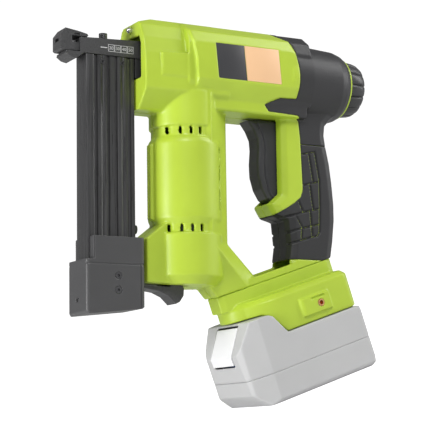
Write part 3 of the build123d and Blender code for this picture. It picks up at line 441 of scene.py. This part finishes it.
def rail_mesh():
    """Outer wall with its ribs, joined to the hollow at both ends by flat rims."""
    outer = [(x, -y) for x, y in RAIL_SIDE] + [(x, y) for x, y in reversed(RAIL_SIDE)]
    low, high, half = RAIL_HOLLOW
    inner = [(low, -half), (high, -half), (high, half), (low, half)]
    form = bmesh.new()
    loops = {}
    for name, loop in (("outer", outer), ("inner", inner)):
        for level in (RAIL_FOOT, RAIL_TOP):
            verts = [form.verts.new((x, y, level)) for x, y in loop]
            loops[name, level] = verts
            for k in range(len(verts)):
                form.edges.new((verts[k], verts[(k + 1) % len(verts)]))
        bottom, top = loops[name, RAIL_FOOT], loops[name, RAIL_TOP]
        for k in range(len(bottom)):
            nxt = (k + 1) % len(bottom)
            form.faces.new((bottom[k], bottom[nxt], top[nxt], top[k]))
    for level in (RAIL_FOOT, RAIL_TOP):
        rim = [e for e in form.edges if all(v.co.z == level for v in e.verts)]
        bmesh.ops.triangle_fill(form, edges=rim, use_beauty=True)
    return finished(form, DRIVE, smooth=28)


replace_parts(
    add_piece("magazine_cover_ribbed", rail_mesh(), "extrusion", "magazine"), "magazine_cover")

# depth scale on the left of the nose bar: four framed numbers and a pointer

SCALE_FACE = -10.0
SCALE_LOW, SCALE_HIGH = -7.0, -1.2
SCALE_START, SCALE_PITCH, SCALE_GAP = 37.6, 5.6, 0.3
SCALE_ROOT = SCALE_FACE + 0.3
DIGIT_SIZE = 3.7
LINE = 0.35
FILM = 0.06


def frame_outline(x0, x1, z0, z1):
    """Four strips around a box."""
    return (
        ((x0, z0), (x1, z0), (x1, z0 + LINE), (x0, z0 + LINE)),
        ((x0, z1 - LINE), (x1, z1 - LINE), (x1, z1), (x0, z1)),
        ((x0, z0 + LINE), (x0 + LINE, z0 + LINE), (x0 + LINE, z1 - LINE), (x0, z1 - LINE)),
        ((x1 - LINE, z0 + LINE), (x1, z0 + LINE), (x1, z1 - LINE), (x1 - LINE, z1 - LINE)),
    )


def number_mesh(text, x, z, size):
    """A printed number standing on the left face of the nose bar."""
    curve = bpy.data.curves.new("number", "FONT")
    curve.body = text
    curve.size = size
    curve.extrude = FILM
    curve.align_x = "CENTER"
    curve.align_y = "CENTER"
    obj = bpy.data.objects.new("number", curve)
    bpy.context.scene.collection.objects.link(obj)
    mesh = bpy.data.meshes.new_from_object(obj.evaluated_get(bpy.context.evaluated_depsgraph_get()))
    bpy.data.objects.remove(obj)
    place = Matrix.Translation((x, SCALE_FACE, z)) @ Matrix.Rotation(math.radians(90), 4, "X")
    mesh.transform(DRIVE @ place)
    return mesh


marks = []
for k, text in enumerate(("20", "30", "40", "50")):
    x0 = SCALE_START + k * SCALE_PITCH
    x1 = x0 + SCALE_PITCH - SCALE_GAP
    for strip in frame_outline(x0, x1, SCALE_LOW, SCALE_HIGH):
        marks.append(prism(strip, SCALE_FACE - FILM, SCALE_ROOT, DRIVE))
    marks.append(number_mesh(text, (x0 + x1) / 2, (SCALE_LOW + SCALE_HIGH) / 2, DIGIT_SIZE))
pointer = ((31, -3.8), (36.8, -3.8), (36.8, -4.5), (31, -4.5))
marks.append(prism(pointer, SCALE_FACE - FILM, SCALE_ROOT, DRIVE))
add_piece("nose_scale", joined("scale", marks), "print", "tool")

# fine teeth on the top of the nose bar

TEETH = 18
TEETH_START, TEETH_PITCH = 14.5, 1.0
TEETH_HALF = 9.6
BAR_TOP, BAR_RISE = 2.3, 0.05
teeth = []
for k in range(TEETH):
    x = TEETH_START + TEETH_PITCH * k
    top = BAR_TOP + BAR_RISE * k
    tooth = ((x, top), (x + 0.25, top + 0.35), (x + 0.5, top), (x + 0.5, top - 0.6), (x, top - 0.6))
    teeth.append(prism(tooth, -TEETH_HALF, TEETH_HALF, DRIVE))
add_piece("nose_serration", joined("teeth", teeth), "dark_metal", "tool")

# ribs at the battery's lower front corners

PACK_HALF = 37.0
RIB_FRONT, RIB_REAR, RIB_STEP = -38, -22, 2.2
RIB_LOW, RIB_PITCH, RIB_HEIGHT = 5.5, 3.4, 1.6
ribs = []
for sign in (-1, 1):
    low, high = sorted((sign * (PACK_HALF - 0.6), sign * (PACK_HALF - 0.02)))
    for k in range(4):
        z = RIB_LOW + RIB_PITCH * k
        rear = RIB_REAR - RIB_STEP * k
        rib = ((RIB_FRONT, z), (rear, z), (rear - 0.8, z + RIB_HEIGHT), (RIB_FRONT, z + RIB_HEIGHT))
        ribs.append(prism(rib, low, high, STAND, bevel=0.12))
add_piece("battery_ribs", joined("ribs", ribs), "battery_case", "battery")


# ---------------------------------------------------------------- stage, light and camera

def plane(name, size):
    """A square floor at height 0."""
    mesh = bpy.data.meshes.new(name)
    half = size / 2
    corners = [(-half, -half, 0), (half, -half, 0), (half, half, 0), (-half, half, 0)]
    mesh.from_pydata(corners, [], [(0, 1, 2, 3)])
    obj = bpy.data.objects.new(name, mesh)
    bpy.context.scene.collection.objects.link(obj)
    return obj


def area_light(name, place, target, size, power):
    """A rectangular lamp turned towards a point."""
    data = bpy.data.lights.new(name, "AREA")
    data.shape = "RECTANGLE"
    data.size, data.size_y = size
    data.energy = power
    lamp = bpy.data.objects.new(name, data)
    lamp.location = place
    lamp.rotation_euler = (Vector(target) - Vector(place)).to_track_quat("-Z", "Y").to_euler()
    bpy.context.scene.collection.objects.link(lamp)


FLOOR_GLOW = 0.85
SKY_LIGHT = 0.24
BACKDROP = 1.05
FLOOR_SIZE = 12
floor = plane("floor", FLOOR_SIZE)
floor_mat, floor_tree, floor_shader, _ = new_material("floor_white")
floor_shader.inputs["Base Color"].default_value = (0.85, 0.85, 0.85, 1)
floor_shader.inputs["Roughness"].default_value = 0.9
floor_shader.inputs["Specular IOR Level"].default_value = 0.0
floor_shader.inputs["Emission Color"].default_value = (1, 1, 1, 1)
floor_path = floor_tree.nodes.new("ShaderNodeLightPath")
floor_level = floor_tree.nodes.new("ShaderNodeMath")
floor_level.operation = "MULTIPLY"
floor_level.inputs[1].default_value = FLOOR_GLOW
floor_tree.links.new(floor_path.outputs["Is Camera Ray"], floor_level.inputs[0])
floor_tree.links.new(floor_level.outputs["Value"], floor_shader.inputs["Emission Strength"])
floor.data.materials.append(floor_mat)

world = bpy.data.worlds.new("studio")
bpy.context.scene.world = world
world.use_nodes = True
sky = world.node_tree.nodes["Background"]
sky.inputs["Color"].default_value = (1, 1, 1, 1)
sky_path = world.node_tree.nodes.new("ShaderNodeLightPath")
sky_level = world.node_tree.nodes.new("ShaderNodeMapRange")
sky_level.inputs["To Min"].default_value = SKY_LIGHT
sky_level.inputs["To Max"].default_value = BACKDROP
world.node_tree.links.new(sky_path.outputs["Is Camera Ray"], sky_level.inputs["Value"])
world.node_tree.links.new(sky_level.outputs["Result"], sky.inputs["Strength"])
bpy.context.scene.view_settings.view_transform = "Standard"

CENTRE = (0.0, 0.0, 0.17)
area_light("key", (-0.2, -1.3, 1.4), CENTRE, (0.6, 0.6), 14)
area_light("front", (-1.5, -0.1, 0.3), CENTRE, (0.3, 1.3), 24)
area_light("rear", (1.1, -0.45, 0.6), CENTRE, (0.25, 1.1), 8)

LENS = 134.0
cam_data = bpy.data.cameras.new("camera")
cam_data.lens = LENS
cam_data.sensor_width = 36.0
cam_data.clip_end = 50
camera = bpy.data.objects.new("camera", cam_data)
bpy.context.scene.collection.objects.link(camera)
bpy.context.scene.camera = camera

YAW = math.radians(28.66)
PITCH = math.radians(-8.4)
BANK = math.radians(-0.89)
EYE = Vector((-482.4, -1133.5, -321.8))
back = Vector((-math.sin(YAW) * math.cos(PITCH), -math.cos(YAW) * math.cos(PITCH), math.sin(PITCH)))
side = (-back).cross(Vector((0, 0, 1))).normalized()
up = side.cross(-back)
side, up = (side * math.cos(BANK) + up * math.sin(BANK), up * math.cos(BANK) - side * math.sin(BANK))
turn = Matrix((side, up, back)).transposed().to_4x4()
camera.matrix_world = Matrix.Translation(DRIVE @ EYE) @ Matrix.Rotation(TILT, 4, "Y") @ turn
